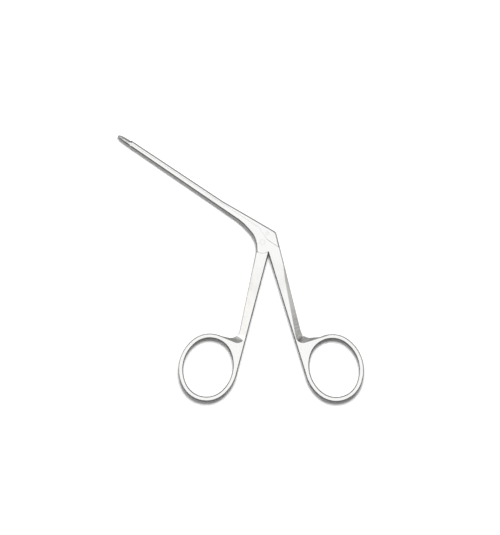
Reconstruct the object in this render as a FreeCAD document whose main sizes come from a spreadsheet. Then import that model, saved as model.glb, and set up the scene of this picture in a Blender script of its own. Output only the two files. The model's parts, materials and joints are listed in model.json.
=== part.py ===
"""Alligator forceps: ring-handled ear and nose forceps with a sliding upper shaft.

The main pivot is the origin. The shaft runs along -X to the jaws, the handles fall
away to -Y and the instrument rests flat on its side at Z = 0. All lengths are in
millimetres and all angles in degrees.
"""
import FreeCAD, Part
import math
import os
import re

import Sketcher
from FreeCAD import Placement, Rotation, Vector

SIZES = {
    # Depths across the resting plane.
    "frame_depth": 3.8,
    "shaft_depth": 2.4,
    "plate_depth": 1.2,
    "plate_slot": 1.3,
    "tang_depth": 0.8,
    "tang_slot": 0.9,
    # Shaft: the seam is where the sliding half meets the fixed half.
    "seam_level": 4.15,
    "shaft_top": 5.15,
    "shaft_foot": 2.75,
    "thin_reach": 24.0,
    "thick_reach": 9.0,
    "rise_reach": 22.0,
    "slide_gap": 0.05,
    "seam_bevel": 0.06,
    "shaft_round": 0.95,
    "slide_round": 0.7,
    # Elbow: two blended curves under the shaft.
    "bend_reach": 14.7,
    "bend_level": 1.87,
    "bend_radius": 30.0,
    "tight_reach": 5.9,
    "tight_level": 0.41,
    "tight_radius": 10.5,
    "cheek_radius": 4.3,
    "cheek_gap": 0.1,
    "cheek_start": 15.0,
    "cheek_join": 1.5,
    "kink_angle": 92.5,
    # Head of the sliding half.
    "head_front": 4.2,
    "head_start": 0.8,
    "head_level": 1.95,
    "head_rise": 7.4,
    "head_round": 2.0,
    # Handles, measured from the crotch where their inner edges meet.
    "crotch_out": 4.47,
    "crotch_drop": 2.41,
    "rear_angle": 39.6,
    "front_angle": 71.2,
    "root_width": 5.0,
    "root_back": 2.0,
    "neck_width": 3.1,
    "rear_reach": 51.2,
    "front_reach": 50.0,
    "rear_lead": 1.3,
    "front_lead": 0.1,
    "shoulder_round": 3.8,
    "web_back": 0.2,
    "web_side": 1.5,
    "rim_bevel": 0.3,
    "rim_ease": 0.12,
    # Finger rings: the loop is an oval of four arcs with one even wall round it.
    "loop_wide": 9.8,
    "loop_stretch": 1.9,
    "loop_tightness": 0.9,
    "ring_wall": 1.9,
    "ring_turn": 1.3,
    "ring_sink": 0.03,
    # Relief of the front handle where its root closes against the rear shank.
    "stop_gap": 0.12,
    "stop_back": 4.0,
    "stop_length": 8.0,
    "stop_room": 3.0,
    # Ground facet on the outer side of each shank.
    "facet_start": 3.2,
    "facet_knee": 11.9,
    "facet_knee_width": 1.2,
    "facet_width": 2.4,
    "rear_past": 0.7,
    "front_past": 1.4,
    "facet_round": 3.0,
    "rear_slant": 0.1,
    "front_slant": 1.6,
    "facet_rim": 16.0,
    "facet_clear": 6.0,
    "facet_drop": 1.0,
    "facet_slope": 70.0,
    # Main pivot and the lever arm that drives the slide.
    "pivot_radius": 1.1,
    "hub_radius": 2.2,
    "hub_gap": 0.2,
    "arm_length": 4.0,
    "arm_lean": 6.0,
    "arm_width": 2.3,
    "arm_room": 0.35,
    "drive_radius": 0.65,
    "plate_reach": 6.7,
    "plate_inner": 3.0,
    "plate_outer": 0.95,
    "pin_gap": 0.05,
    "pin_bevel": 0.04,
    # Jaws.
    "jaw_reach": 65.3,
    "jaw_level": 3.45,
    "jaw_length": 6.4,
    "jaw_lean": 20.0,
    "jaw_close": 3.87,
    "jaw_gap": 0.06,
    "jaw_back": 1.15,
    "jaw_height": 1.1,
    "jaw_slope": 0.4,
    "jaw_foot": 0.95,
    "jaw_fall": 0.2,
    "jaw_round": 0.5,
    "tip_height": 0.28,
    "tip_width": 1.5,
    "tip_round": 0.8,
    "nose_run": 3.0,
    "nose_waist": 1.1,
    "tip_blend": 2.4,
    "tip_radius": 5.0,
    "nose_top": 5.28,
    "nose_bevel": 0.35,
    "nose_step": 0.1,
    "fork_nose": 0.9,
    "fork_reach": 0.55,
    "jaw_pin_radius": 0.3,
    "link_pin_radius": 0.25,
    "tang_radius": 0.55,
    "tang_gap": 0.08,
    "tang_neck": 0.15,
    "tang_top": 0.3,
    "fork_room": 0.3,
    "link_wall": 0.15,
    "tooth_pitch": 0.6,
    "tooth_width": 0.5,
    "tooth_depth": 0.2,
    "tooth_start": 1.75,
    # Keys that hold the two halves of the shaft together.
    "key_lead": 8.3,
    "key_pitch": 24.0,
    "key_length": 3.0,
    "key_stem": 0.7,
    "key_stem_drop": 0.35,
    "key_head": 1.3,
    "key_head_drop": 0.35,
    "key_gap": 0.06,
    # How far a cutter reaches past what it cuts.
    "cut_over": 1.0,
}
TOOTH_COUNT = 8
KEY_COUNT = 2

doc = FreeCAD.newDocument("forceps")
sheet = doc.addObject("Spreadsheet::Sheet", "sizes")
for row, (alias, number) in enumerate(SIZES.items(), start=1):
    sheet.set("A%d" % row, alias)
    sheet.set("B%d" % row, str(number))
    sheet.setAlias("B%d" % row, alias)
doc.recompute()


def ref(text):
    """Point each size named in an expression at its cell of the sheet."""
    names = lambda found: "sizes." + found.group(0) if found.group(0) in SIZES else found.group(0)
    return re.sub(r"[a-z][a-z_]*", names, str(text))


def value(text):
    """Number that an expression has now."""
    result = sheet.evalExpression(ref(text))
    return float(getattr(result, "Value", result))


# Places that several pieces share.
PIN_X = "(-arm_length * sin(arm_lean))"
PIN_Y = "(arm_length * cos(arm_lean))"
STROKE = "(2 * arm_length * sin(arm_lean))"
JAW_ARM = "(arm_length * sin(arm_lean) / sin(jaw_lean))"
LINK_X = "(-jaw_reach - arm_length * sin(arm_lean))"
LINK_Y = "(jaw_level + arm_length * sin(arm_lean) / tan(jaw_lean))"
SEAM_TOP = "(seam_level + slide_gap)"
NOSE_X = "(-jaw_reach - arm_length * sin(arm_lean) - fork_reach)"
TIP_X = "(-jaw_reach - jaw_length)"
KEY_X = "(-jaw_reach + key_lead)"
LOOP_LONG = "(loop_wide + loop_stretch)"
RING_LONG = "(loop_wide + loop_stretch + ring_wall)"
RING_WIDE = "(loop_wide + ring_wall)"
SHANK_FALL = "((root_width - neck_width) / (rear_reach - %s - rear_lead))" % RING_LONG
# Radii of the loop's tight ends and of its broad sides, which meet without a corner.
TIGHT = "(loop_tightness * loop_wide)"
BROAD = "((%s ^ 2 - 2 * %s * %s + loop_wide ^ 2) / (2 * (loop_wide - %s)))" % (
    LOOP_LONG,
    LOOP_LONG,
    TIGHT,
    TIGHT,
)
# The outer edge of the rear shank runs on as the back edge of the slide's head.
EDGE_DOWN = "(sin(rear_angle) + %s * cos(rear_angle))" % SHANK_FALL
EDGE_OUT = "(cos(rear_angle) - %s * sin(rear_angle))" % SHANK_FALL


def edge_x(along):
    """X of the rear outer edge, a distance along the shank from the crotch."""
    return "(crotch_out + (%s) * %s + root_width * sin(rear_angle))" % (along, EDGE_OUT)


def edge_y(along):
    """Y of the rear outer edge, a distance along the shank from the crotch."""
    return "(-crotch_drop + root_width * cos(rear_angle) - (%s) * %s)" % (along, EDGE_DOWN)


def edge_at(level):
    """Distance along the rear shank where its outer edge has this Y."""
    return "((root_width * cos(rear_angle) - crotch_drop - (%s)) / %s)" % (level, EDGE_DOWN)


def shank_width(along):
    """Width of a shank, a distance along it from the crotch."""
    return "(root_width - %s * (%s))" % (SHANK_FALL, along)


def new_body(label):
    """Body whose mid-plane lies half the frame's depth above the resting plane."""
    body = doc.addObject("PartDesign::Body", label)
    body.Label = label
    body.setExpression("Placement.Base.z", ref("frame_depth / 2"))
    return body


def origin_part(body, role):
    """Plane or axis of a body's own origin."""
    return [part for part in body.Origin.OriginFeatures if part.Role == role][0]


def new_sketch(body, name, plane="XY_Plane", x="0", y="0", z="0", turn="0", axis=Vector(0, 0, -1)):
    """Sketch on a plane of the body, shifted and turned in that plane."""
    sketch = body.newObject("Sketcher::SketchObject", name)
    sketch.AttachmentSupport = [(origin_part(body, plane), "")]
    sketch.MapMode = "FlatFace"
    sketch.AttachmentOffset = Placement(Vector(0, 0, 0), Rotation(axis, value(turn)))
    for key, shift in (("Base.x", x), ("Base.y", y), ("Base.z", z), ("Rotation.Angle", turn)):
        if shift != "0":
            sketch.setExpression("AttachmentOffset." + key, ref(shift))
    return sketch


def bind(sketch, kind, text, *places):
    """Dimension of a sketch that follows an expression."""
    index = sketch.addConstraint(Sketcher.Constraint(kind, *places, value(text)))
    sketch.setExpression("Constraints[%d]" % index, ref(text))


def pin_point(sketch, geometry, place, x, y):
    """Hold one point of a sketch at (x, y)."""
    bind(sketch, "DistanceX", x, -1, 1, geometry, place)
    bind(sketch, "DistanceY", y, -1, 1, geometry, place)


def arc_between(start, end, radius, left):
    """Arc from start to end that turns left or right."""
    chord = end - start
    half = chord.Length / 2
    side = Vector(-chord.y, chord.x, 0).normalize() * (1 if left else -1)
    centre = (start + end) * 0.5 + side * math.sqrt(max(radius ** 2 - half ** 2, 0.0))
    middle = centre - side * radius
    return Part.Arc(start, middle, end)


def outline(sketch, path):
    """Closed outline: (x, y) starts a line, (x, y, radius, turn) starts an arc."""
    spots = [Vector(value(step[0]), value(step[1]), 0) for step in path]
    ends = []
    for index, step in enumerate(path):
        start = spots[index]
        end = spots[(index + 1) % len(path)]
        if len(step) == 2:
            sketch.addGeometry(Part.LineSegment(start, end), False)
            ends.append((1, 2))
        else:
            left = step[3] == "left"
            sketch.addGeometry(arc_between(start, end, value(step[2]), left), False)
            ends.append((1, 2) if left else (2, 1))
    for index, step in enumerate(path):
        after = (index + 1) % len(path)
        link = Sketcher.Constraint("Coincident", index, ends[index][1], after, ends[after][0])
        sketch.addConstraint(link)
        pin_point(sketch, index, ends[index][0], step[0], step[1])
        if len(step) > 2:
            bind(sketch, "Radius", step[2], index)
    return sketch


def circle(sketch, x, y, radius):
    """Circle at (x, y)."""
    shape = Part.Circle(Vector(value(x), value(y), 0), Vector(0, 0, 1), value(radius))
    index = sketch.addGeometry(shape, False)
    pin_point(sketch, index, 3, x, y)
    bind(sketch, "Radius", radius, index)
    return sketch


def oval(sketch, wall):
    """Oval of four arcs about the sketch's origin, a wall's width outside the loop."""
    spread = "(%s - %s)" % (LOOP_LONG, TIGHT)
    tight = "(%s + %s)" % (TIGHT, wall)
    broad = "(%s + %s)" % (BROAD, wall)
    x = "(%s + %s * %s / (%s - %s))" % (spread, tight, spread, BROAD, TIGHT)
    y = "(%s * (%s - loop_wide) / (%s - %s))" % (tight, BROAD, BROAD, TIGHT)
    path = [
        (x, "-" + y, tight, "left"),
        (x, y, broad, "left"),
        ("-" + x, y, tight, "left"),
        ("-" + x, "-" + y, broad, "left"),
    ]
    return outline(sketch, path)


def pad(body, sketch, depth, both=True):
    """Pad a sketch, to both sides of its plane unless told otherwise."""
    feature = body.newObject("PartDesign::Pad", "pad_" + sketch.Name)
    feature.Profile = sketch
    feature.SideType = "Symmetric" if both else "One side"
    feature.setExpression("Length", ref(depth))
    feature.Refine = True
    return feature


def pocket(body, sketch, depth=None, both=True, back=False):
    """Cut a sketch out, right through unless a depth is given."""
    feature = body.newObject("PartDesign::Pocket", "cut_" + sketch.Name)
    feature.Profile = sketch
    feature.SideType = "Symmetric" if both else "One side"
    feature.Reversed = back
    if depth is None:
        feature.Type = "ThroughAll"
    else:
        feature.Type = "Length"
        feature.setExpression("Length", ref(depth))
    feature.Refine = True
    return feature


def repeat(body, feature, role, length, count, back=False):
    """Row of copies of a feature along an axis of the body."""
    pattern = body.newObject("PartDesign::LinearPattern", "row_" + feature.Name)
    pattern.Originals = [feature]
    pattern.Direction = (origin_part(body, role), [""])
    pattern.Reversed = back
    pattern.Occurrences = count
    pattern.setExpression("Length", ref(length))
    body.Tip = pattern
    return pattern


def mirror(body, features, role="XY_Plane"):
    """Copy features to the other side of a plane of the body."""
    twin = body.newObject("PartDesign::Mirrored", "twin_" + features[0].Name)
    twin.Originals = features
    twin.MirrorPlane = (origin_part(body, role), [""])
    body.Tip = twin
    return twin


def soften(body, kind, size, chosen):
    """Fillet or chamfer the edges of the body's tip that pass a test."""
    doc.recompute()
    base = body.Tip
    names = []
    for index, edge in enumerate(base.Shape.Edges, start=1):
        if chosen(edge):
            names.append("Edge%d" % index)
    feature = body.newObject("PartDesign::" + kind, "%s_%s" % (kind.lower(), base.Name))
    feature.Base = (base, names)
    if kind == "Fillet":
        feature.setExpression("Radius", ref(size))
    else:
        feature.setExpression("Size", ref(size))
    return feature


def middle(edge):
    """Point half-way along an edge."""
    return edge.valueAt((edge.FirstParameter + edge.LastParameter) / 2)


def flat_at(edge, level):
    """Whether an edge lies all at one height."""
    box = edge.BoundBox
    return abs(box.ZMin - level) < 1e-4 and abs(box.ZMax - level) < 1e-4


def upright_at(edge, x, y, reach=0.2):
    """Whether an edge stands along Z near (x, y)."""
    box = edge.BoundBox
    spot = middle(edge)
    return box.ZLength > 0.5 and math.hypot(spot.x - x, spot.y - y) < reach


def handle(body, angle, side, reach, lead, root):
    """Shank, shoulder and finger ring; side is +1 or -1 for the ring's side."""
    out = lambda text: "(%s)" % text if side > 0 else "(-(%s))" % text
    place = dict(x="crotch_out", y="-crotch_drop", turn=angle)
    shoulder = "(%s - %s - %s)" % (reach, RING_LONG, lead)
    path = [(along, out(across)) for along, across in root]
    path += [
        (shoulder, out(shank_width(shoulder))),
        ("%s - %s + web_back" % (reach, RING_LONG), out("%s - web_side" % RING_WIDE)),
        (reach, out(RING_WIDE)),
        (reach, out("ring_sink")),
    ]
    pad(body, outline(new_sketch(body, "shank", **place), path), "frame_depth")
    tilt = "%s + ring_turn" % angle if side > 0 else "%s - ring_turn" % angle
    cosine = "cos(%s)" % angle
    sine = "sin(%s)" % angle
    across = out(RING_WIDE)
    centre = dict(
        x="crotch_out + %s * %s + %s * %s" % (reach, cosine, across, sine),
        y="-crotch_drop - %s * %s + %s * %s" % (reach, sine, across, cosine),
        turn=tilt,
    )
    pad(body, oval(new_sketch(body, "ring", **centre), "ring_wall"), "frame_depth")
    pocket(body, oval(new_sketch(body, "loop", **centre), "0"))
    along = value(shoulder)
    beside = value(out(shank_width(shoulder)))
    spin = math.radians(value(angle))
    corner_x = value("crotch_out") + along * math.cos(spin) + beside * math.sin(spin)
    corner_y = -value("crotch_drop") - along * math.sin(spin) + beside * math.cos(spin)
    soften(body, "Fillet", "shoulder_round", lambda edge: upright_at(edge, corner_x, corner_y))


def facets(body, angle, side, reach, past, slant):
    """Ground facet that follows the outer side of a shank and dies out on its ring."""
    out = lambda text: "(%s)" % text if side > 0 else "(-(%s))" % text
    end = "(%s - %s + %s)" % (reach, RING_LONG, past)
    rise = "(%s + facet_knee_width / (facet_knee - facet_start))" % SHANK_FALL
    start = shank_width("facet_start")
    foot = shank_width(end) + " - facet_width"
    path = [
        ("facet_start", out(start)),
        ("facet_knee", out(shank_width("facet_knee") + " - facet_knee_width")),
        (end + " - facet_round", out(foot), "facet_round", "left" if side > 0 else "right"),
        (end, out(foot + " + facet_round")),
        (end + " - " + slant, out("facet_rim")),
        ("facet_start - facet_clear", out("facet_rim")),
        ("facet_start - facet_clear", out("%s + facet_clear * %s" % (start, rise))),
    ]
    sketch = new_sketch(
        body, "facet", x="crotch_out", y="-crotch_drop", z="frame_depth / 2", turn=angle
    )
    cut = pocket(body, outline(sketch, path), "facet_drop", both=False)
    cut.setExpression("TaperAngle", ref("-facet_slope"))
    mirror(body, [cut])


def slim_shaft(body):
    """Thin the shaft ahead of the elbow, easing up to the full depth."""
    half = "frame_depth / 2"
    path = [
        (TIP_X + " - 3 * cut_over", "shaft_depth / 2"),
        ("-thin_reach", "shaft_depth / 2"),
        ("-thick_reach", half),
        ("-thick_reach", half + " + cut_over"),
        (TIP_X + " - 3 * cut_over", half + " + cut_over"),
    ]
    cut = pocket(body, outline(new_sketch(body, "slim", plane="XZ_Plane"), path))
    mirror(body, [cut])


def turn_jaws(body):
    """Turn the outside of a jaw to a round nose about the line where the jaws close."""
    back = "-jaw_reach - jaw_back"
    nose = TIP_X + " + tip_round - sqrt(tip_round ^ 2 - tip_width ^ 2 / 4)"
    path = [
        (back, "shaft_depth / 2"),
        (back + " - nose_run", "nose_waist"),
        (nose, "tip_width / 2", "tip_round", "left"),
        (TIP_X, "0"),
        (TIP_X + " - cut_over", "0"),
        (TIP_X + " - cut_over", "shaft_depth"),
        (back, "shaft_depth"),
    ]
    sketch = outline(new_sketch(body, "nose_side", y="jaw_close"), path)
    turned = body.newObject("PartDesign::Groove", "turn_" + sketch.Name)
    turned.Profile = sketch
    turned.ReferenceAxis = (sketch, ["H_Axis"])
    turned.Angle = 360
    turned.Refine = True
    return turned


def build_fixed_frame():
    """Lower shaft with the fixed jaw, the elbow box and the rear handle, one forging."""
    body = new_body("fixed_frame")
    back_edge = edge_at("head_level")
    path = [
        (TIP_X, "jaw_close"),
        ("-jaw_reach - fork_nose", "jaw_close"),
        ("-jaw_reach - fork_nose + nose_step", "seam_level"),
        ("-head_front", "seam_level"),
        ("head_start", "head_level"),
        (edge_x(back_edge), "head_level"),
        (edge_x("cheek_join"), edge_y("cheek_join")),
        (
            "cheek_radius * cos(cheek_start)",
            "-cheek_radius * sin(cheek_start)",
            "cheek_radius",
            "right",
        ),
        ("cheek_radius * cos(kink_angle)", "-cheek_radius * sin(kink_angle)", "tight_radius", "left"),
        ("-tight_reach", "tight_level", "bend_radius", "left"),
        ("-bend_reach", "bend_level"),
        ("-jaw_reach - jaw_back", "shaft_foot"),
        (TIP_X + " + tip_blend", "jaw_close - jaw_foot", "tip_radius", "right"),
        (TIP_X, "jaw_close - tip_height"),
    ]
    pad(body, outline(new_sketch(body, "side"), path), "frame_depth")
    root = [
        ("-root_back", "0"),
        ("-root_back", "root_back"),
        ("cheek_join", shank_width("cheek_join")),
    ]
    handle(body, "rear_angle", 1, "rear_reach", "rear_lead", root)
    slim_shaft(body)
    soften(body, "Fillet", "shaft_round", under_shaft)
    round_rim(body)
    facets(body, "rear_angle", 1, "rear_reach", "rear_past", "rear_slant")
    soften(body, "Chamfer", "seam_bevel", on_seam)
    cut_lever_slot(body)
    cut_jaw_fork(body)
    cut_key_slots(body)
    turn_jaws(body)
    groove = outline(new_sketch(body, "groove"), tooth("jaw_close"))
    teeth = pocket(body, groove)
    repeat(body, teeth, "X_Axis", "tooth_pitch * %d" % (TOOTH_COUNT - 1), TOOTH_COUNT, back=True)
    pocket(body, circle(new_sketch(body, "pivot_hole"), "0", "0", "pivot_radius"))
    pocket(body, circle(new_sketch(body, "jaw_hole"), "-jaw_reach", "jaw_level", "jaw_pin_radius"))
    return body


def under_shaft(edge):
    """Whether an edge runs along the underside of the shaft or the elbow's curve."""
    box = edge.BoundBox
    spot = middle(edge)
    ahead = value("-jaw_reach - jaw_back") - 0.01
    inside = box.XMin > ahead and box.XMax < 0.1 and spot.y < value("seam_level") - 0.5
    outer = abs(spot.z) > value("shaft_depth / 2") - 0.01
    return inside and outer and box.XLength > 0.1


def round_rim(body):
    """Ease the outline of a shank and its ring in two flats that stand for a round."""
    soften(body, "Chamfer", "rim_bevel", on_rim)
    soften(body, "Chamfer", "rim_ease", on_rim)


def on_rim(edge):
    """Whether an edge goes round the flat face of a shank or its ring."""
    spot = middle(edge)
    level = math.copysign(value("frame_depth / 2"), spot.z)
    low = spot.y < value("head_level") - 0.3
    clear = math.hypot(spot.x, spot.y) > value("cheek_radius") + 1.2
    return flat_at(edge, level) and low and clear


def on_seam(edge):
    """Whether an edge of the elbow box lies along the foot of the slide's head."""
    spot = middle(edge)
    level = math.copysign(value("frame_depth / 2"), spot.z)
    beside = abs(spot.y - value("head_level")) < 0.01
    return flat_at(edge, level) and beside and edge.BoundBox.XLength > 1


def cut_lever_slot(body):
    """Slot between the cheeks in which the lever's plate swings."""
    room = "hub_radius + hub_gap"
    pocket(body, circle(new_sketch(body, "hub_room"), "0", "0", room), "plate_slot")
    sweep = [
        ("0", room),
        ("0", "-2 * cheek_radius"),
        ("plate_reach", "-2 * cheek_radius"),
        ("plate_reach", "plate_inner + hub_gap"),
    ]
    pocket(body, outline(new_sketch(body, "neck_room", turn="front_angle"), sweep), "plate_slot")
    half = "arm_width / 2 + arm_room + hub_gap"
    rise = [
        ("-(%s)" % half, "0"),
        (half, "0"),
        (half, "seam_level + cut_over"),
        ("-(%s)" % half, "seam_level + cut_over"),
    ]
    pocket(body, outline(new_sketch(body, "arm_gate"), rise), "plate_slot")


def cut_jaw_fork(body):
    """Fork at the front of the lower shaft in which the jaw's tang turns."""
    front = "-jaw_reach - tang_radius - fork_room"
    mouth = "-jaw_reach - fork_nose - fork_room"
    back = "-jaw_reach + tang_radius + fork_room"
    floor = "jaw_level - tang_radius - tang_gap"
    path = [
        (mouth, "jaw_close"),
        (front, "jaw_close"),
        (front, floor),
        (back, floor),
        (back, "seam_level + cut_over"),
        (mouth, "seam_level + cut_over"),
    ]
    pocket(body, outline(new_sketch(body, "fork"), path), "tang_slot")


def key_section(grow, top):
    """T-shaped section of a key, or of its slot when grow is the clearance."""
    stem = "key_stem / 2 + %s" % grow
    head = "key_head / 2 + %s" % grow
    neck = "seam_level - key_stem_drop + %s" % grow
    foot = "seam_level - key_stem_drop - key_head_drop - %s" % grow
    return [
        (top, stem),
        (neck, stem),
        (neck, head),
        (foot, head),
        (foot, "-(%s)" % head),
        (neck, "-(%s)" % head),
        (neck, "-(%s)" % stem),
        (top, "-(%s)" % stem),
    ]


def cut_key_slots(body):
    """T-slots for the keys, each with a window behind it where its key drops in."""
    travel = "key_length + %s + 2 * key_gap" % STROKE
    window_room = "key_length + 2 * key_gap"
    start = dict(plane="YZ_Plane", z=KEY_X + " - key_gap")
    section = key_section("key_gap", "seam_level + cut_over")
    slot = pocket(
        body,
        outline(new_sketch(body, "key_slot", **start), section),
        "%s + %s" % (travel, window_room),
        both=False,
        back=True,
    )
    half = "key_head / 2 + key_gap"
    foot = "seam_level - key_stem_drop - key_head_drop - key_gap"
    drop_in = [
        ("seam_level + cut_over", half),
        (foot, half),
        (foot, "-(%s)" % half),
        ("seam_level + cut_over", "-(%s)" % half),
    ]
    spot = dict(plane="YZ_Plane", z=KEY_X + " - key_gap + " + travel)
    window = outline(new_sketch(body, "key_window", **spot), drop_in)
    window = pocket(body, window, window_room, both=False, back=True)
    pattern = repeat(body, slot, "X_Axis", "key_pitch * %d" % (KEY_COUNT - 1), KEY_COUNT)
    pattern.Originals = [slot, window]


def tooth(level):
    """Section of one tooth below a level: a groove, or the ridge that meets it."""
    place = "-jaw_reach - tooth_start"
    return [
        (place + " - tooth_width / 2", level + " + 0.05"),
        (place + " + tooth_width / 2", level + " + 0.05"),
        (place + " + tooth_width / 2", level),
        (place, level + " - tooth_depth"),
        (place + " - tooth_width / 2", level),
    ]


def build_slide_rod():
    """Upper half of the shaft, which slides, with the head that the lever drives."""
    body = new_body("slide_rod")
    low = "head_level + slide_gap"
    path = [
        (NOSE_X, SEAM_TOP),
        (NOSE_X, "nose_top - nose_bevel"),
        (NOSE_X + " + nose_bevel", "nose_top"),
        ("-rise_reach", "shaft_top"),
        (edge_x("-head_rise"), edge_y("-head_rise")),
        (edge_x(edge_at(low)), low),
        ("head_start", low),
        ("-head_front", SEAM_TOP),
    ]
    pad(body, outline(new_sketch(body, "side"), path), "frame_depth")
    corner_x = value(edge_x("-head_rise"))
    corner_y = value(edge_y("-head_rise"))
    soften(body, "Fillet", "head_round", lambda edge: upright_at(edge, corner_x, corner_y))
    slim_shaft(body)
    soften(body, "Fillet", "slide_round", over_shaft)
    key = outline(
        new_sketch(body, "key", plane="YZ_Plane", z=KEY_X),
        key_section("0", SEAM_TOP + " + key_gap"),
    )
    key = pad(body, key, "key_length", both=False)
    repeat(body, key, "X_Axis", "key_pitch * %d" % (KEY_COUNT - 1), KEY_COUNT)
    half = "(arm_width / 2 + arm_room)"
    arm_room = [
        ("%s - %s" % (PIN_X, half), "head_level - cut_over"),
        ("%s + %s" % (PIN_X, half), "head_level - cut_over"),
        ("%s + %s" % (PIN_X, half), PIN_Y + " + arm_room", half + " * 1.05", "left"),
        ("%s - %s" % (PIN_X, half), PIN_Y + " + arm_room"),
    ]
    pocket(body, outline(new_sketch(body, "arm_slot"), arm_room), "plate_slot")
    back = LINK_X + " + tang_radius + hub_gap"
    fork = [
        (NOSE_X + " - cut_over", "seam_level - cut_over"),
        (back, "seam_level - cut_over"),
        (back, "nose_top + cut_over"),
        (NOSE_X + " - cut_over", "nose_top + cut_over"),
    ]
    pocket(body, outline(new_sketch(body, "nose_fork"), fork), "tang_slot")
    pocket(body, circle(new_sketch(body, "drive_hole"), PIN_X, PIN_Y, "drive_radius"))
    pocket(body, circle(new_sketch(body, "link_hole"), LINK_X, LINK_Y, "link_pin_radius"))
    return body


def over_shaft(edge):
    """Whether an edge runs along the top of the sliding half or round its head."""
    box = edge.BoundBox
    spot = middle(edge)
    outer = abs(spot.z) > value("shaft_depth / 2") - 0.01
    top = spot.y > value("shaft_top") - 0.2 or spot.x > value("head_start") + 1
    clear = spot.y > value("head_level + slide_gap") + 0.1
    clear = clear and box.XMin > value(NOSE_X + " + nose_bevel") - 0.01
    return outer and top and clear and box.XLength > 0.1 and box.ZLength < 1


def build_front_handle():
    """Moving handle: a lever with its finger ring below and its driving arm above."""
    body = new_body("front_handle")
    root = [("-cheek_join", "0"), ("-cheek_join", shank_width("-cheek_join"))]
    handle(body, "front_angle", -1, "front_reach", "front_lead", root)
    relief = [
        ("-stop_back", "-stop_gap"),
        ("stop_length", "-stop_gap"),
        ("stop_length", "stop_room"),
        ("-stop_back", "stop_room"),
    ]
    stop = new_sketch(body, "stop", x="crotch_out", y="-crotch_drop", turn="rear_angle")
    pocket(body, outline(stop, relief))
    pocket(body, circle(new_sketch(body, "cheek_room"), "0", "0", "cheek_radius + cheek_gap"))
    round_rim(body)
    facets(body, "front_angle", -1, "front_reach", "front_past", "front_slant")
    pad(body, circle(new_sketch(body, "hub"), "0", "0", "hub_radius"), "plate_depth")
    neck = [
        ("0", "-hub_radius"),
        ("plate_reach", "-plate_outer"),
        ("plate_reach", "plate_inner"),
        ("0", "hub_radius"),
    ]
    pad(body, outline(new_sketch(body, "neck", turn="front_angle"), neck), "plate_depth")
    up = dict(turn="90 + arm_lean", axis=Vector(0, 0, 1))
    arm = [
        ("0", "-arm_width / 2"),
        ("arm_length", "-arm_width / 2"),
        ("arm_length", "arm_width / 2"),
        ("0", "arm_width / 2"),
    ]
    pad(body, outline(new_sketch(body, "arm", **up), arm), "plate_depth")
    pad(body, circle(new_sketch(body, "arm_end"), PIN_X, PIN_Y, "arm_width / 2"), "plate_depth")
    bore = circle(new_sketch(body, "pivot_bore"), "0", "0", "pivot_radius + pin_gap")
    pocket(body, bore)
    pocket(body, circle(new_sketch(body, "drive_bore"), PIN_X, PIN_Y, "drive_radius + pin_gap"))
    return body


def build_upper_jaw():
    """Moving jaw with the tang that turns in the fork and takes the slide's pull."""
    body = new_body("upper_jaw")
    low = "jaw_close + jaw_gap"
    high = low + " + jaw_height"
    path = [
        ("-jaw_reach - jaw_back", low),
        (TIP_X, low),
        (TIP_X, low + " + tip_height", "tip_radius", "right"),
        (TIP_X + " + tip_blend", high + " - jaw_fall"),
        ("-jaw_reach - jaw_back - jaw_slope", high),
    ]
    pad(body, outline(new_sketch(body, "side"), path), "shaft_depth")
    soften(body, "Fillet", "jaw_round", jaw_back_rim)
    ridge = pad(body, outline(new_sketch(body, "ridge"), tooth(low)), "shaft_depth")
    repeat(body, ridge, "X_Axis", "tooth_pitch * %d" % (TOOTH_COUNT - 1), TOOTH_COUNT, back=True)
    turn_jaws(body)
    neck = [
        ("-jaw_reach - tang_neck", low),
        ("-jaw_reach - jaw_back - tang_top", low),
        ("-jaw_reach - jaw_back - jaw_slope - tang_top", LINK_Y + " + tang_top"),
        (LINK_X, LINK_Y + " + tang_top"),
    ]
    pad(body, outline(new_sketch(body, "neck"), neck), "tang_depth")
    hub = circle(new_sketch(body, "tang"), "-jaw_reach", "jaw_level", "tang_radius")
    pad(body, hub, "tang_depth")
    eye = "link_pin_radius + pin_gap + link_wall"
    pad(body, circle(new_sketch(body, "eye"), LINK_X, LINK_Y, eye), "tang_depth")
    lean = dict(x="-jaw_reach", y="jaw_level", turn="90 + jaw_lean", axis=Vector(0, 0, 1))
    arm = [
        ("0", "-tang_radius"),
        (JAW_ARM, "-(%s)" % eye),
        (JAW_ARM, eye),
        ("0", "tang_radius"),
    ]
    pad(body, outline(new_sketch(body, "arm", **lean), arm), "tang_depth")
    bore = circle(
        new_sketch(body, "pivot_bore"), "-jaw_reach", "jaw_level", "jaw_pin_radius + pin_gap"
    )
    pocket(body, bore)
    near = "(%s * cos(jaw_lean) - pin_gap)" % JAW_ARM
    far = "(%s + pin_gap)" % JAW_ARM
    room = "(link_pin_radius + pin_gap)"
    slot = [
        (near, "-" + room),
        (far, "-" + room, room + " * 1.03", "left"),
        (far, room),
        (near, room, room + " * 1.03", "left"),
    ]
    pocket(body, outline(new_sketch(body, "link_slot", **lean), slot))
    return body


def jaw_back_rim(edge):
    """Whether an edge runs along the back of the moving jaw."""
    box = edge.BoundBox
    spot = middle(edge)
    return box.XLength > 0.5 and box.ZLength < 0.1 and spot.y > value("jaw_close + jaw_gap") + 0.5


def build_pin(label, x, y, radius, depth):
    """Cross pin with bevelled ends, flush with what it passes through."""
    body = new_body(label)
    pad(body, circle(new_sketch(body, "shank"), x, y, radius), depth)
    level = value(depth) / 2
    soften(body, "Chamfer", "pin_bevel", lambda edge: flat_at(edge, math.copysign(level, middle(edge).z)))
    return body


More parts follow.
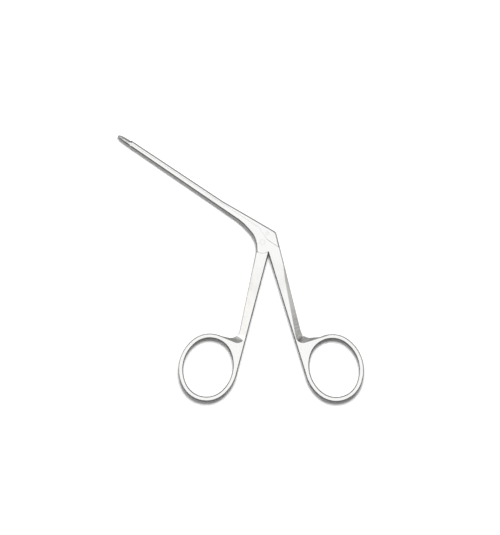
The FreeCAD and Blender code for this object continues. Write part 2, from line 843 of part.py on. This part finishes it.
def main():
    """Build every piece, check it and write it out."""
    pieces = [
        build_fixed_frame(),
        build_slide_rod(),
        build_front_handle(),
        build_upper_jaw(),
        build_pin("main_pivot_pin", "0", "0", "pivot_radius", "frame_depth"),
        build_pin("drive_pin", PIN_X, PIN_Y, "drive_radius", "frame_depth"),
        build_pin("jaw_pivot_pin", "-jaw_reach", "jaw_level", "jaw_pin_radius", "shaft_depth"),
        build_pin("jaw_link_pin", LINK_X, LINK_Y, "link_pin_radius", "shaft_depth"),
    ]
    doc.recompute()
    for item in doc.Objects:
        if "Invalid" in item.State or "Error" in item.State:
            raise RuntimeError("%s failed: %s" % (item.Name, item.State))
    os.makedirs("parts", exist_ok=True)
    for piece in pieces:
        shape = piece.Shape
        if shape.isNull() or not shape.isValid() or len(shape.Solids) != 1:
            raise RuntimeError("%s has no valid solid" % piece.Label)
        shape.exportStep("parts/%s.step" % piece.Label)


if __name__ == "__main__":
    main()
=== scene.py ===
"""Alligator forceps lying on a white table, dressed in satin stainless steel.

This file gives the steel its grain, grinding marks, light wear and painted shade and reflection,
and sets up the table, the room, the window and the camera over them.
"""
import json
import logging
import math
from dataclasses import dataclass
from enum import Enum
from typing import Any, Optional, Union

import bmesh
import bpy
from mathutils import Matrix, Vector

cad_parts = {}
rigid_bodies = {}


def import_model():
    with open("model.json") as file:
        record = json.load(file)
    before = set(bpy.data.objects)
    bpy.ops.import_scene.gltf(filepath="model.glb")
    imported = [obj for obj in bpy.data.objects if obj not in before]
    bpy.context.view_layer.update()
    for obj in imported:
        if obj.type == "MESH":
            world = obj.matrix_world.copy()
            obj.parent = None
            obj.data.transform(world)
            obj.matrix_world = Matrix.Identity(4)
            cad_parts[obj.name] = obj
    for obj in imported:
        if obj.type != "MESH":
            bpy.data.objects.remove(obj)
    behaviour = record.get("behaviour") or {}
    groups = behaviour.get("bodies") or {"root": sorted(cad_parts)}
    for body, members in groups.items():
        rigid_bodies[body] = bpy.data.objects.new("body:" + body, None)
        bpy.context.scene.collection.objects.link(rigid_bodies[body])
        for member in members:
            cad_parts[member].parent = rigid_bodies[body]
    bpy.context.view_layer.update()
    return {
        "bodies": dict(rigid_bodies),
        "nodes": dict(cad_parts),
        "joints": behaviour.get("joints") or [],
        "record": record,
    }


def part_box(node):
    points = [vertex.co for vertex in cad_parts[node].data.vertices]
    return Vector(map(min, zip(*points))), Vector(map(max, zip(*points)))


log = logging.getLogger("forceps")

Value = Union[float, "Signal"]
Colour = tuple[float, float, float, float]
Pair = tuple[float, float]
Triple = tuple[float, float, float]

NOISE_ROUGHNESS = 0.6


class Line(Enum):
    """Lines of the instrument that its pieces are brushed and ground along.

    Each value is the line's angle in degrees from the frame's X axis.
    """

    SHAFT = 0.0
    REAR_SHANK = -39.6
    FRONT_SHANK = -71.2


class Signal:
    """A number that varies over a surface, with Python's operators for its maths."""

    def __init__(self, graph: "Graph", socket: bpy.types.NodeSocket) -> None:
        """Wrap a socket.

        Args:
            graph: the nodes that the number belongs to.
            socket: the output that carries the number.
        """
        self.graph = graph
        self.socket = socket

    def _math(self, operation: str, first: Value, second: Value) -> "Signal":
        """Add a Math node and return what it gives."""
        node = self.graph.node("ShaderNodeMath", {"operation": operation}, {0: first, 1: second})
        return Signal(self.graph, node.outputs[0])

    def __add__(self, other: Value) -> "Signal":
        """This plus another."""
        return self._math("ADD", self, other)

    def __radd__(self, other: Value) -> "Signal":
        """Another plus this."""
        return self._math("ADD", other, self)

    def __sub__(self, other: Value) -> "Signal":
        """This less another."""
        return self._math("SUBTRACT", self, other)

    def __rsub__(self, other: Value) -> "Signal":
        """Another less this."""
        return self._math("SUBTRACT", other, self)

    def __mul__(self, other: Value) -> "Signal":
        """This times another."""
        return self._math("MULTIPLY", self, other)

    def __rmul__(self, other: Value) -> "Signal":
        """Another times this."""
        return self._math("MULTIPLY", other, self)

    def __abs__(self) -> "Signal":
        """This without its sign."""
        return self._math("ABSOLUTE", self, 0.0)

    def most(self, other: Value) -> "Signal":
        """The larger of this and another."""
        return self._math("MAXIMUM", self, other)

    def band(self, low: float, high: float) -> "Signal":
        """Smooth step of this number.

        Args:
            low: where the step is 0.
            high: where the step is 1.

        Returns:
            The step, from 0 to 1.
        """
        settings = {"interpolation_type": "SMOOTHSTEP"}
        values = {"Value": self, "From Min": low, "From Max": high}
        node = self.graph.node("ShaderNodeMapRange", settings, values)
        return Signal(self.graph, node.outputs["Result"])


class Graph:
    """Nodes of one material or world, added by type, settings and socket values."""

    def __init__(self, owner: Union[bpy.types.Material, bpy.types.World]) -> None:
        """Start with no nodes.

        Args:
            owner: the material or world that the nodes belong to.
        """
        self.owner = owner
        owner.use_nodes = True
        self.tree = owner.node_tree
        self.tree.nodes.clear()

    def node(
        self,
        kind: str,
        settings: Optional[dict[str, Any]] = None,
        values: Optional[dict[Union[int, str], Any]] = None,
    ) -> bpy.types.Node:
        """Add a node.

        Args:
            kind: the node's type.
            settings: its properties, set first.
            values: numbers, colours, signals or sockets for its inputs.

        Returns:
            The new node.
        """
        made = self.tree.nodes.new(kind)
        for key, setting in (settings or {}).items():
            setattr(made, key, setting)
        for key, given in (values or {}).items():
            if isinstance(given, Signal):
                given = given.socket
            if isinstance(given, bpy.types.NodeSocket):
                self.tree.links.new(given, made.inputs[key])
            else:
                made.inputs[key].default_value = given
        return made

    def place(
        self, turn: float = 0.0, stretch: Triple = (1.0, 1.0, 1.0)
    ) -> bpy.types.NodeSocket:
        """Object coordinates in metres, turned about Z and then stretched.

        Args:
            turn: angle in degrees that the pattern's X axis makes with the piece's.
            stretch: scale of the pattern along its own axes.

        Returns:
            The socket of the pattern's own coordinates.
        """
        where = self.node("ShaderNodeTexCoord").outputs["Object"]
        spin = (0.0, 0.0, -math.radians(turn))
        turned = self.node("ShaderNodeMapping", {}, {0: where, "Rotation": spin})
        sized = self.node("ShaderNodeMapping", {}, {0: turned.outputs[0], "Scale": stretch})
        return sized.outputs[0]

    def noise(self, where: bpy.types.NodeSocket, scale: float, detail: float = 3.0) -> Signal:
        """Noise from 0 to 1, finer as detail grows."""
        values = {"Vector": where, "Scale": scale, "Detail": detail, "Roughness": NOISE_ROUGHNESS}
        return Signal(self, self.node("ShaderNodeTexNoise", {}, values).outputs["Fac"])

    def near(self, centre: Triple, core: float, rim: float) -> Signal:
        """Closeness to an upright line through a point.

        Args:
            centre: point that the line goes through, at level 0.
            core: distance in metres within which it is 1.
            rim: distance in metres past which it is 0.

        Returns:
            The closeness, from 0 to 1.
        """
        flat = self.place(0.0, (1.0, 1.0, 0.0))
        settings = {"operation": "DISTANCE"}
        gap = self.node("ShaderNodeVectorMath", settings, {0: flat, 1: centre})
        return 1.0 - Signal(self, gap.outputs["Value"]).band(core, rim)

    def part(self, vector: bpy.types.NodeSocket, axis: str) -> Signal:
        """One component of a vector."""
        split = self.node("ShaderNodeSeparateXYZ", {}, {0: vector})
        return Signal(self, split.outputs[axis])

    def blend(self, amount: Value, first: Any, second: Any) -> bpy.types.NodeSocket:
        """Colour between two by an amount from 0 to 1."""
        mix = self.node("ShaderNodeMix", {"data_type": "RGBA"}, {0: amount, 6: first, 7: second})
        return mix.outputs[2]

    def ray(self, kind: str) -> Signal:
        """1 for rays of one kind, such as Is Camera Ray, and 0 for all others."""
        return Signal(self, self.node("ShaderNodeLightPath").outputs[kind])


@dataclass(frozen=True)
class SatinSteel:
    """Satin-brushed stainless steel with ground facets, light wear and painted shade and
    reflection.

    The brushing runs along grain. A facet is ground across it, more evenly as even nears 1, and
    its tone is a painted reflection and shade: it goes from ground to facet_dark along shank,
    over the two distances of fade on both sides of pale_at, which is counted from the main pivot.
    jaw, full inside the first distance of stain and gone at the second. worn, tilted, level and
    walled are pairs between which a mask rises: of the wear's noise, and of how squarely a face
    looks up. Lengths are in metres.
    """

    grain: Line = Line.SHAFT
    shank: Line = Line.SHAFT
    clean: Colour = (0.61, 0.61, 0.605, 1.0)
    dull: Colour = (0.54, 0.535, 0.52, 1.0)
    # Painted shade: the dark colour that upright walls and rounded edges are turned towards.
    side: Colour = (0.18, 0.176, 0.17, 1.0)
    ground: Colour = (0.64, 0.63, 0.605, 1.0)
    # Painted shade: the darker tone a facet takes away from where it is palest.
    facet_dark: Colour = (0.43, 0.42, 0.40, 1.0)
    # Painted shade: the dark colour put round the jaw's heel, where the joint lies in shadow.
    joint_shade: Colour = (0.10, 0.095, 0.09, 1.0)
    dullness: float = 0.35
    wall_shading: float = 0.85
    joint_shading: float = 0.8
    worn: Pair = (0.50, 0.72)
    tilted: Pair = (0.84, 0.90)
    level: Pair = (0.955, 0.985)
    walled: Pair = (0.60, 0.98)
    heel: Triple = (-0.0662, 0.0048, 0.0)
    painted_joint_shade: Pair = (0.0004, 0.0008)
    pale_at: float = 0.0225
    fade: Pair = (0.002, 0.014)
    even: float = 0.3
    marks: Pair = (0.35, 0.65)
    grain_scale: Triple = (60.0, 2600.0, 900.0)
    grinding_scale: Triple = (170.0, 1500.0, 900.0)
    grinding_turn: float = 62.0
    wear_scale: float = 90.0
    roughness: float = 0.18
    ground_roughness: float = 0.20
    grain_roughness: float = 0.10
    worn_roughness: float = 0.05
    joint_shade_roughness: float = 0.2
    grain_bump: float = 0.04
    grain_depth: float = 0.0002
    grinding_height: float = 2.0
    edge_radius: float = 0.0005
    edge_samples: int = 8

    def make(self, name: str) -> bpy.types.Material:
        """Build the material.

        Args:
            name: the material's name.

        Returns:
            The material.
        """
        graph = Graph(bpy.data.materials.new(name))
        along = self.grain.value
        fine = graph.noise(graph.place(along, self.grain_scale), 1.0, detail=4.0)
        wear = graph.noise(graph.place(along), self.wear_scale, detail=2.0).band(*self.worn)
        crossing = graph.place(along + self.grinding_turn, self.grinding_scale)
        across = graph.noise(crossing, 1.0)
        facing = abs(graph.part(graph.node("ShaderNodeTexCoord").outputs["Normal"], "Z"))
        facet = facing.band(*self.tilted) * (1.0 - facing.band(*self.level))
        # Painted shade round the jaw's heel, where the joint lies in shadow.
        painted_joint_shade = graph.near(self.heel, *self.painted_joint_shade)
        rough = self.roughness + self.grain_roughness * (fine - 0.5)
        rough = rough + self.worn_roughness * wear + self.joint_shade_roughness * painted_joint_shade
        rough = rough + facet * (self.ground_roughness - self.roughness)
        height = fine * (1.0 - facet) + across * facet * self.grinding_height
        grinding = facet * (self.even + (1.0 - self.even) * across.band(*self.marks))
        # Faces get painted shade as they turn upright, by how little they face up.
        colour = self._colour(graph, wear, 1.0 - facing.band(*self.walled), grinding)
        values = {
            "Base Color": graph.blend(painted_joint_shade * self.joint_shading, colour, self.joint_shade),
            "Metallic": 1.0,
            "Roughness": rough,
            "Normal": self._relief(graph, facet, height),
        }
        shader = graph.node("ShaderNodeBsdfPrincipled", {}, values)
        graph.node("ShaderNodeOutputMaterial", {}, {0: shader.outputs[0]})
        return graph.owner

    def _colour(
        self, graph: Graph, wear: Signal, wall_shade: Signal, grinding: Signal
    ) -> bpy.types.NodeSocket:
        """Colour of the brushed faces, with painted shade on the walls and painted reflection and
        shade on the ground facets.

        Args:
            graph: the material's nodes.
            wear: how dulled the surface is.
            wall_shade: how much painted shade darkens a face, 0 on level faces and 1 on upright
                walls.
            grinding: how much of a facet's tone shows, with its grinding marks and its painted
                reflection and shade.

        Returns:
            The socket of the colour.
        """
        along = graph.part(graph.place(self.shank.value), "X")
        # Painted reflection and shade: a facet is palest at pale_at and darkens along the shank
        # on both sides.
        facet_shading = abs(along - self.pale_at).band(*self.fade)
        colour = graph.blend(wear * self.dullness, self.clean, self.dull)
        # Painted shade: faces darken towards side as they turn upright.
        colour = graph.blend(wall_shade * self.wall_shading, colour, self.side)
        return graph.blend(grinding, colour, graph.blend(facet_shading, self.ground, self.facet_dark))

    def _relief(self, graph: Graph, facet: Signal, height: Signal) -> bpy.types.NodeSocket:
        """Normal with the grain's relief and a softened edge round each facet.

        Args:
            graph: the material's nodes.
            facet: 1 on ground facets and 0 elsewhere.
            height: the height of the grain and of the grinding marks.

        Returns:
            The socket of the normal.
        """
        flat = graph.node("ShaderNodeNewGeometry").outputs["Normal"]
        settings = {"samples": self.edge_samples}
        soft = graph.node("ShaderNodeBevel", settings, {"Radius": self.edge_radius})
        values = {0: facet, 4: flat, 5: soft.outputs[0]}
        normal = graph.node("ShaderNodeMix", {"data_type": "VECTOR"}, values)
        values = {
            "Strength": self.grain_bump,
            "Distance": self.grain_depth,
            "Height": height,
            "Normal": normal.outputs[1],
        }
        return graph.node("ShaderNodeBump", {}, values).outputs[0]


@dataclass(frozen=True)
class PinSteel:
    """Fine-ground pin steel with turning rings round the pin's own axis."""

    colour: Colour = (0.61, 0.61, 0.605, 1.0)
    shade: Colour = (0.575, 0.57, 0.56, 1.0)
    roughness: float = 0.17
    ring_scale: float = 1800.0
    ring_waver: float = 1.2
    ring_tone: float = 0.5
    ring_roughness: float = 0.03
    ring_bump: float = 0.02
    ring_depth: float = 0.0001

    def make(self, name: str, centre: Vector) -> bpy.types.Material:
        """Build the material.

        Args:
            name: the material's name.
            centre: a point on the pin's axis, in metres.

        Returns:
            The material.
        """
        graph = Graph(bpy.data.materials.new(name))
        where = graph.node("ShaderNodeTexCoord").outputs["Object"]
        shifted = graph.node("ShaderNodeMapping", {}, {0: where, "Location": -centre})
        values = {
            "Vector": shifted.outputs[0],
            "Scale": self.ring_scale,
            "Distortion": self.ring_waver,
            "Detail": 2.0,
        }
        rings = graph.node(
            "ShaderNodeTexWave", {"wave_type": "RINGS", "rings_direction": "Z"}, values
        )
        turned = Signal(graph, rings.outputs["Fac"])
        values = {"Strength": self.ring_bump, "Distance": self.ring_depth, "Height": turned}
        relief = graph.node("ShaderNodeBump", {}, values)
        values = {
            "Base Color": graph.blend(turned * self.ring_tone, self.colour, self.shade),
            "Metallic": 1.0,
            "Roughness": self.roughness + self.ring_roughness * turned,
            "Normal": relief.outputs[0],
        }
        shader = graph.node("ShaderNodeBsdfPrincipled", {}, values)
        graph.node("ShaderNodeOutputMaterial", {}, {0: shader.outputs[0]})
        return graph.owner


@dataclass
class Piece:
    """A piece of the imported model, whose shape stays as it is."""

    frame: dict[str, Any]
    node: str

    def put_on(self, steel: bpy.types.Material) -> bpy.types.Object:
        """Put one steel on every slot of the piece.

        Args:
            steel: the material.

        Returns:
            The piece.
        """
        piece = self.frame["nodes"][self.node]
        for slot in piece.material_slots:
            slot.material = steel
        log.info("dressed %s", self.node)
        return piece


@dataclass
class Forging(Piece):
    """A forged and brushed piece: a handle, a half of the shaft or a jaw."""

    finish: SatinSteel = SatinSteel()

    def dress(self) -> bpy.types.Object:
        """Give the piece its satin steel."""
        return self.put_on(self.finish.make("steel_" + self.node))


@dataclass
class CrossPin(Piece):
    """A turned pin that crosses the instrument."""

    finish: PinSteel = PinSteel()

    def dress(self) -> bpy.types.Object:
        """Give the pin its steel, centred on its own axis."""
        low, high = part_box(self.node)
        return self.put_on(self.finish.make("steel_" + self.node, (low + high) / 2))


@dataclass
class Forceps:
    """The whole instrument: four forged pieces and the four pins that join them."""

    frame: dict[str, Any]
    rear: SatinSteel = SatinSteel(shank=Line.REAR_SHANK)
    front: SatinSteel = SatinSteel(
        grain=Line.FRONT_SHANK,
        shank=Line.FRONT_SHANK,
        # A painted highlight makes this facet pale, and painted shade darkens it away from
        # pale_at.
        ground=(0.88, 0.88, 0.87, 1.0),
        facet_dark=(0.48, 0.47, 0.45, 1.0),
        pale_at=0.0390,
        fade=(0.0003, 0.0013),
        even=0.75,
    )
    # The jaw's link pin is painted dark, as shade in the joint round it.
    shaded_pin: PinSteel = PinSteel(colour=(0.16, 0.155, 0.15, 1.0), shade=(0.12, 0.115, 0.11, 1.0))

    def dress(self) -> None:
        """Give every piece its finish."""
        Forging(self.frame, "fixed_frame", self.rear).dress()
        Forging(self.frame, "slide_rod").dress()
        Forging(self.frame, "front_handle", self.front).dress()
        Forging(self.frame, "upper_jaw").dress()
        for pin in ("main_pivot_pin", "drive_pin", "jaw_pivot_pin"):
            CrossPin(self.frame, pin).dress()
        # The link pin gets dark steel as painted shade in the joint.
        CrossPin(self.frame, "jaw_link_pin", self.shaded_pin).dress()


@dataclass(frozen=True)
class Layout:
    """How the picture lies over the table.

    turn is the angle in degrees from the frame's X axis to the picture's right. The main pivot
    stands at pivot_pixel, counted from the picture's top left.
    """

    turn: float = 33.5
    metres_per_pixel: float = 0.0003977
    pivot_pixel: Pair = (262.5, 242.2)
    picture: tuple[int, int] = (500, 535)

    def across(self) -> Vector:
        """Direction in the frame that is the picture's right."""
        angle = math.radians(self.turn)
        return Vector((math.cos(angle), math.sin(angle), 0.0))

    def up(self) -> Vector:
        """Direction in the frame that is the picture's top."""
        angle = math.radians(self.turn)
        return Vector((-math.sin(angle), math.cos(angle), 0.0))

    def step(self, side: float, top: float, rise: float) -> Vector:
        """Vector given by its parts towards the picture's right, its top and upward."""
        return self.across() * side + self.up() * top + Vector((0, 0, rise))

    def centre(self) -> Vector:
        """Find the point of the table in the middle of the picture.

        Returns:
            The point, in metres.
        """
        side = (self.picture[0] / 2 - self.pivot_pixel[0]) * self.metres_per_pixel
        top = (self.pivot_pixel[1] - self.picture[1] / 2) * self.metres_per_pixel
        return self.step(side, top, 0.0)

    def aim(self, thing: bpy.types.Object, place: Vector, target: Vector) -> None:
        """Put a lamp or camera at a place, looking at a target with the picture's top upward.

        Args:
            thing: the lamp or camera.
            place: where it stands.
            target: the point that it looks at.
        """
        back = (place - target).normalized()
        side = (self.up() - back * self.up().dot(back)).cross(back).normalized()
        turn = Matrix((side, back.cross(side), back)).transposed().to_4x4()
        thing.matrix_world = Matrix.Translation(place) @ turn


@dataclass
class Overhead:
    """Camera over the table, framed as the photograph.

    It leans by some degrees off the plumb line, towards the bottom of the picture, and looks at
    the top faces from reach metres away.
    """

    layout: Layout
    lean: float = 5.0
    reach: float = 2.0
    top_level: float = 0.0038
    sensor: float = 24.0

    def build(self) -> bpy.types.Object:
        """Add the camera and look through it.

        Returns:
            The camera.
        """
        data = bpy.data.cameras.new("overhead")
        thing = bpy.data.objects.new("overhead", data)
        bpy.context.scene.collection.objects.link(thing)
        tall = self.layout.picture[1] * self.layout.metres_per_pixel
        data.sensor_fit = "VERTICAL"
        data.sensor_height = self.sensor
        data.lens = self.sensor * self.reach / tall
        data.clip_start = 0.01
        data.clip_end = 20.0
        middle = self.layout.centre() + Vector((0, 0, self.top_level))
        lean = math.radians(self.lean)
        back = self.layout.step(0.0, -math.sin(lean), math.cos(lean))
        self.layout.aim(thing, middle + back * self.reach, middle)
        bpy.context.scene.camera = thing
        log.info("camera is set")
        return thing


@dataclass
class Window:
    """Soft square lamp that looks at the middle of the table.

    Its place is in metres towards the picture's right, its top and upward from there.
    """

    layout: Layout
    side: float = 0.05
    top: float = 0.27
    rise: float = 0.9
    width: float = 0.30
    watts: float = 8.9

    def build(self) -> bpy.types.Object:
        """Add the lamp.

        Returns:
            The lamp.
        """
        data = bpy.data.lights.new("window", "AREA")
        data.shape = "SQUARE"
        data.size = self.width
        data.energy = self.watts
        thing = bpy.data.objects.new("window", data)
        bpy.context.scene.collection.objects.link(thing)
        middle = self.layout.centre()
        place = middle + self.layout.step(self.side, self.top, self.rise)
        self.layout.aim(thing, place, middle)
        # The steel mirrors the room's screens, not the lamp.
        thing.visible_glossy = False
        log.info("window is set")
        return thing


@dataclass
class Table:
    """White table top, which keeps the object's shadow."""

    width: float = 3.0
    card: Colour = (0.93, 0.93, 0.93, 1.0)
    lift: float = 0.05

    def finish(self) -> bpy.types.Material:
        """Build white card that looks a little brighter to the eye and in the steel.

        Returns:
            The material.
        """
        graph = Graph(bpy.data.materials.new("white_table"))
        card = graph.node("ShaderNodeBsdfDiffuse", {}, {"Color": self.card})
        glow = graph.node("ShaderNodeEmission", {}, {"Strength": self.lift})
        dark = graph.node("ShaderNodeEmission", {}, {"Strength": 0.0})
        seen = graph.ray("Is Camera Ray").most(graph.ray("Is Glossy Ray"))
        seen = seen.most(graph.ray("Is Transmission Ray"))
        values = {0: seen, 1: dark.outputs[0], 2: glow.outputs[0]}
        lift = graph.node("ShaderNodeMixShader", {}, values)
        both = graph.node("ShaderNodeAddShader", {}, {0: card.outputs[0], 1: lift.outputs[0]})
        graph.node("ShaderNodeOutputMaterial", {}, {0: both.outputs[0]})
        return graph.owner

    def build(self) -> bpy.types.Object:
        """Add the table top, level with the frame's floor.

        Returns:
            The table top.
        """
        sheet = bmesh.new()
        bmesh.ops.create_grid(sheet, x_segments=1, y_segments=1, size=self.width / 2)
        mesh = bpy.data.meshes.new("table")
        sheet.to_mesh(mesh)
        sheet.free()
        mesh.materials.append(self.finish())
        thing = bpy.data.objects.new("table", mesh)
        bpy.context.scene.collection.objects.link(thing)
        log.info("table is set")
        return thing


@dataclass(frozen=True)
class Glow:
    """Bright patch of the room's ceiling or walls, as a soft screen gives.

    towards is a direction: picture's right, picture's top and up. The patch is even inside the
    core angle and gone at the rim angle, both in degrees from that direction.
    """

    towards: Triple
    core: float
    rim: float
    strength: float


@dataclass
class Room:
    """Room with a bright ceiling, soft screens on three sides and pale walls under them.

    The walls fade out between the two heights of wall_top, as parts of the whole way up. The
    table gets only the share fill of what the steel sees of all this, and gloom is the light
    that comes from everywhere.
    """

    layout: Layout
    gloom: float = 0.05
    walls: float = 0.42
    wall_top: Pair = (0.45, 0.60)
    fill: float = 0.45
    glows: tuple[Glow, ...] = (
        Glow((0.0, 0.0, 1.0), 17.0, 30.0, 1.9),
        Glow((-0.62, 0.16, 0.77), 10.0, 24.0, 2.45),
        Glow((0.61, 0.19, 0.77), 10.0, 24.0, 1.0),
        Glow((-0.06, 0.63, 0.77), 10.0, 32.0, 0.72),
    )

    def patch(self, graph: Graph, glow: Glow) -> Signal:
        """Find the strength of one glow in the direction that a ray looks.

        Args:
            graph: the world's nodes.
            glow: the patch of light.

        Returns:
            The strength.
        """
        where = graph.node("ShaderNodeTexCoord").outputs["Generated"]
        toward = self.layout.step(*glow.towards).normalized()
        settings = {"operation": "DOT_PRODUCT"}
        facing = graph.node("ShaderNodeVectorMath", settings, {0: where, 1: toward})
        reach = Signal(graph, facing.outputs["Value"])
        rim = math.cos(math.radians(glow.rim))
        core = math.cos(math.radians(glow.core))
        return glow.strength * reach.band(rim, core)

    def build(self) -> bpy.types.World:
        """Add the world that lights the scene.

        Returns:
            The world.
        """
        world = bpy.data.worlds.new("room")
        bpy.context.scene.world = world
        graph = Graph(world)
        share = 1.0 - (1.0 - self.fill) * graph.ray("Is Diffuse Ray")
        height = graph.part(graph.node("ShaderNodeTexCoord").outputs["Generated"], "Z")
        level: Value = self.walls * (1.0 - height.band(*self.wall_top))
        for glow in self.glows:
            level = self.patch(graph, glow) + level
        sky = graph.node("ShaderNodeBackground", {}, {"Strength": share * level + self.gloom})
        graph.node("ShaderNodeOutputWorld", {}, {0: sky.outputs[0]})
        log.info("room is set")
        return world


def main() -> None:
    """Dress every piece and set up the table, the light and the camera."""
    logging.basicConfig(level=logging.INFO, format="%(message)s")
    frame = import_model()
    Forceps(frame).dress()
    bpy.context.scene.view_settings.view_transform = "Standard"
    layout = Layout()
    Table().build()
    Room(layout).build()
    Window(layout).build()
    Overhead(layout).build()


if __name__ == "__main__":
    main()
